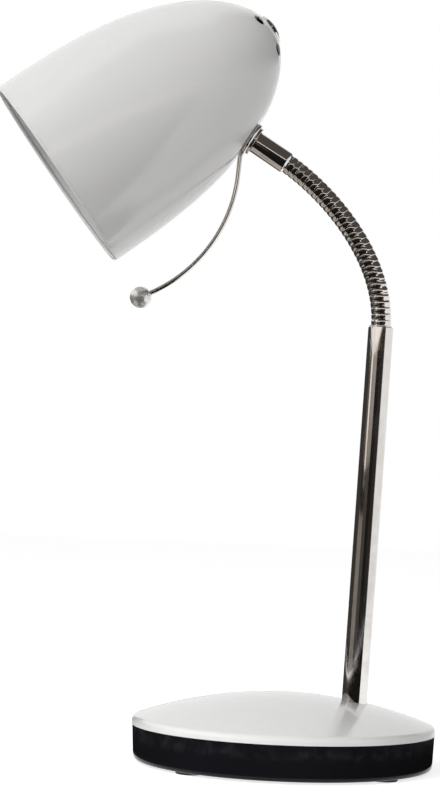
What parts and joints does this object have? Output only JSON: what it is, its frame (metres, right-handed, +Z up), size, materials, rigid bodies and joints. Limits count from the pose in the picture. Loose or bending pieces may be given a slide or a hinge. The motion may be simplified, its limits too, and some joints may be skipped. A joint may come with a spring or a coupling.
{
  "type": "gooseneck desk lamp",
  "caption": "Gooseneck desk lamp with a bullet shade, wire handle with ball, straight chrome stem and a round weighted base with a domed cap",
  "frame": {"origin": "on the table under the centre of the round base", "axes": "+Z up; the stem and the neck lie in the XZ plane, the stem stands towards +X and the shade's mouth faces -X and down; +Y is the far side in the picture"},
  "size_m": [0.2317, 0.151, 0.3824],
  "materials": {
    "white_gloss_paint": "white stoving enamel, high gloss",
    "black_gloss_moulding": "black, moulded, high gloss",
    "cast_ballast": "plain casting",
    "zinc_plate": "zinc plated",
    "foot_rubber": "matt",
    "soft_black": "moulded, satin",
    "chrome_plate": "bright plated",
    "thread_brass": "drawn or turned",
    "satin_steel": "satin, pearl-like",
    "black_phenolic": "thermoset moulding",
    "pale_ceramic": "pale insulating moulding",
    "lamp_cap_metal": "rolled thread",
    "frosted_glass": "frosted inside"
  },
  "bodies": {
    "base_stem": {"base_cap": "white_gloss_paint", "base_pan": "black_gloss_moulding", "ballast_plate": "cast_ballast", "pan_screws": "zinc_plate", "rubber_feet": "foot_rubber", "cord_bush": "soft_black", "stem_tube": "chrome_plate", "stem_nipple": "thread_brass", "stem_washer": "zinc_plate", "stem_toothed_washer": "zinc_plate", "stem_nut": "zinc_plate", "neck_socket": "chrome_plate"},
    "link_01": {"neck_link_01": "chrome_plate"},
    "link_02": {"neck_link_02": "chrome_plate"},
    "link_03": {"neck_link_03": "chrome_plate"},
    "link_04": {"neck_link_04": "chrome_plate"},
    "link_05": {"neck_link_05": "chrome_plate"},
    "link_06": {"neck_link_06": "chrome_plate"},
    "link_07": {"neck_link_07": "chrome_plate"},
    "link_08": {"neck_link_08": "chrome_plate"},
    "link_09": {"neck_link_09": "chrome_plate"},
    "link_10": {"neck_link_10": "chrome_plate"},
    "link_11": {"neck_link_11": "chrome_plate"},
    "link_12": {"neck_link_12": "chrome_plate"},
    "link_13": {"neck_link_13": "chrome_plate"},
    "link_14": {"neck_link_14": "chrome_plate"},
    "link_15": {"neck_link_15": "chrome_plate"},
    "head": {"neck_ferrule": "chrome_plate", "flange_washer": "chrome_plate", "handle_wire": "chrome_plate", "handle_ball": "satin_steel", "shade_shell": "white_gloss_paint", "seat_toothed_washer": "zinc_plate", "seat_nut": "zinc_plate", "crown_screw": "black_gloss_moulding", "crown_washer": "chrome_plate", "holder_washer": "zinc_plate", "holder_cap": "black_phenolic", "holder_body": "black_phenolic", "holder_insert": "pale_ceramic", "centre_contact": "thread_brass", "side_contact": "thread_brass", "screw_shell": "thread_brass", "terminal_screws": "zinc_plate"},
    "bulb": {"bulb_cap": "lamp_cap_metal", "bulb_globe": "frosted_glass"}
  },
  "joints": [
    {"name": "neck_bend_01", "type": "hinge", "parent": "base_stem", "child": "link_01", "pos_m": [0.04213, 0, 0.22413], "axis": [0, -1, 0], "range_deg": [-7.5, 2.5]},
    {"name": "neck_sway_02", "type": "hinge", "parent": "link_01", "child": "link_02", "pos_m": [0.04165, 0, 0.23045], "axis": [0.9922, 0, 0.1249], "range_deg": [-5, 5]},
    {"name": "neck_bend_03", "type": "hinge", "parent": "link_02", "child": "link_03", "pos_m": [0.04054, 0, 0.23669], "axis": [0, -1, 0], "range_deg": [-7.5, 2.5]},
    {"name": "neck_sway_04", "type": "hinge", "parent": "link_03", "child": "link_04", "pos_m": [0.03888, 0, 0.24281], "axis": [0.9532, 0, 0.3023], "range_deg": [-5, 5]},
    {"name": "neck_bend_05", "type": "hinge", "parent": "link_04", "child": "link_05", "pos_m": [0.03671, 0, 0.24877], "axis": [0, -1, 0], "range_deg": [-7.5, 2.5]},
    {"name": "neck_sway_06", "type": "hinge", "parent": "link_05", "child": "link_06", "pos_m": [0.03412, 0, 0.25455], "axis": [0.898, 0, 0.44], "range_deg": [-5, 5]},
    {"name": "neck_bend_07", "type": "hinge", "parent": "link_06", "child": "link_07", "pos_m": [0.03114, 0, 0.26015], "axis": [0, -1, 0], "range_deg": [-7.5, 2.5]},
    {"name": "neck_sway_08", "type": "hinge", "parent": "link_07", "child": "link_08", "pos_m": [0.02782, 0, 0.26555], "axis": [0.8371, 0, 0.547], "range_deg": [-5, 5]},
    {"name": "neck_bend_09", "type": "hinge", "parent": "link_08", "child": "link_09", "pos_m": [0.02421, 0, 0.27076], "axis": [0, -1, 0], "range_deg": [-7.5, 2.5]},
    {"name": "neck_sway_10", "type": "hinge", "parent": "link_09", "child": "link_10", "pos_m": [0.02032, 0, 0.27577], "axis": [0.7745, 0, 0.6326], "range_deg": [-5, 5]},
    {"name": "neck_bend_11", "type": "hinge", "parent": "link_10", "child": "link_11", "pos_m": [0.01619, 0, 0.28058], "axis": [0, -1, 0], "range_deg": [-7.5, 2.5]},
    {"name": "neck_sway_12", "type": "hinge", "parent": "link_11", "child": "link_12", "pos_m": [0.01183, 0, 0.28518], "axis": [0.7095, 0, 0.7047], "range_deg": [-5, 5]},
    {"name": "neck_bend_13", "type": "hinge", "parent": "link_12", "child": "link_13", "pos_m": [0.00726, 0, 0.28957], "axis": [0, -1, 0], "range_deg": [-7.5, 2.5]},
    {"name": "neck_sway_14", "type": "hinge", "parent": "link_13", "child": "link_14", "pos_m": [0.00248, 0, 0.29374], "axis": [0.6383, 0, 0.7697], "range_deg": [-5, 5]},
    {"name": "neck_bend_15", "type": "hinge", "parent": "link_14", "child": "link_15", "pos_m": [-0.0025, 0, 0.29766], "axis": [0, -1, 0], "range_deg": [-7.5, 2.5]},
    {"name": "neck_sway_16", "type": "hinge", "parent": "link_15", "child": "head", "pos_m": [-0.00768, 0, 0.30133], "axis": [0.5551, 0, 0.8318], "range_deg": [-5, 5]},
    {"name": "bulb_unscrew", "type": "slide", "parent": "head", "child": "bulb", "axis": [-0.8002, 0, -0.5997], "range_m": [0, 0.045]}
  ],
  "couplings": [
    {"joint": "neck_sway_02", "follows": "neck_sway_16", "ratio": 1},
    {"joint": "neck_bend_03", "follows": "neck_bend_01", "ratio": 1},
    {"joint": "neck_sway_04", "follows": "neck_sway_16", "ratio": 1},
    {"joint": "neck_bend_05", "follows": "neck_bend_01", "ratio": 1},
    {"joint": "neck_sway_06", "follows": "neck_sway_16", "ratio": 1},
    {"joint": "neck_bend_07", "follows": "neck_bend_01", "ratio": 1},
    {"joint": "neck_sway_08", "follows": "neck_sway_16", "ratio": 1},
    {"joint": "neck_bend_09", "follows": "neck_bend_01", "ratio": 1},
    {"joint": "neck_sway_10", "follows": "neck_sway_16", "ratio": 1},
    {"joint": "neck_bend_11", "follows": "neck_bend_01", "ratio": 1},
    {"joint": "neck_sway_12", "follows": "neck_sway_16", "ratio": 1},
    {"joint": "neck_bend_13", "follows": "neck_bend_01", "ratio": 1},
    {"joint": "neck_sway_14", "follows": "neck_sway_16", "ratio": 1},
    {"joint": "neck_bend_15", "follows": "neck_bend_01", "ratio": 1}
  ]
}
